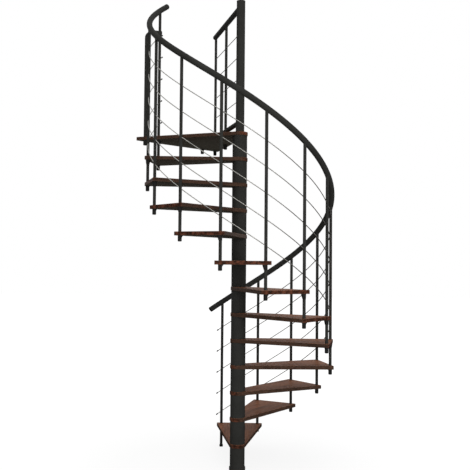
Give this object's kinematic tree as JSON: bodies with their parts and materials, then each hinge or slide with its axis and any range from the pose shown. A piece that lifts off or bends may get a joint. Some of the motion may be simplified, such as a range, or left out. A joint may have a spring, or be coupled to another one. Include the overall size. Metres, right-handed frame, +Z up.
{
  "type": "spiral staircase",
  "caption": "Spiral staircase with stained wooden treads on a black steel column, helical handrail, wire infill and a three-cornered landing with a guard.",
  "frame": {"origin": "centre of the base flange's underside, on the floor, on the column's axis", "axes": "+Z up along the column; +Y along the middle of the first tread"},
  "size_m": [1.7249, 1.694, 4.0691],
  "materials": {
    "black_steel": "satin black powder coat",
    "stained_wood": "dark brown stain, satin varnish",
    "wire_steel": "drawn stainless",
    "black_plastic": "matt moulded"
  },
  "bodies": {
    "root": {"base_flange": "black_steel", "central_pole": "black_steel", "pole_cap": "black_steel", "column_spacers": "black_steel", "tread_01": "stained_wood", "tread_02": "stained_wood", "tread_03": "stained_wood", "tread_04": "stained_wood", "tread_05": "stained_wood", "tread_06": "stained_wood", "tread_07": "stained_wood", "tread_08": "stained_wood", "tread_09": "stained_wood", "tread_10": "stained_wood", "tread_11": "stained_wood", "tread_12": "stained_wood", "landing": "stained_wood", "landing_stud": "black_steel", "baluster_00": "black_steel", "baluster_01": "black_steel", "baluster_02": "black_steel", "baluster_03": "black_steel", "baluster_04": "black_steel", "baluster_05": "black_steel", "baluster_06": "black_steel", "baluster_07": "black_steel", "baluster_08": "black_steel", "baluster_09": "black_steel", "baluster_10": "black_steel", "baluster_11": "black_steel", "baluster_12": "black_steel", "baluster_foot": "black_plastic", "tread_collars": "black_plastic", "landing_collars": "black_plastic", "handrail": "black_steel", "handrail_caps": "black_plastic", "infill_wire_1": "wire_steel", "infill_wire_2": "wire_steel", "infill_wire_3": "wire_steel", "infill_wire_4": "wire_steel", "infill_wire_5": "wire_steel", "guard_rail": "black_steel", "guard_lower_rail": "black_steel", "guard_balusters": "black_steel", "corner_rail": "black_steel", "corner_baluster": "black_steel", "guard_wires": "wire_steel"}
  },
  "joints": []
}
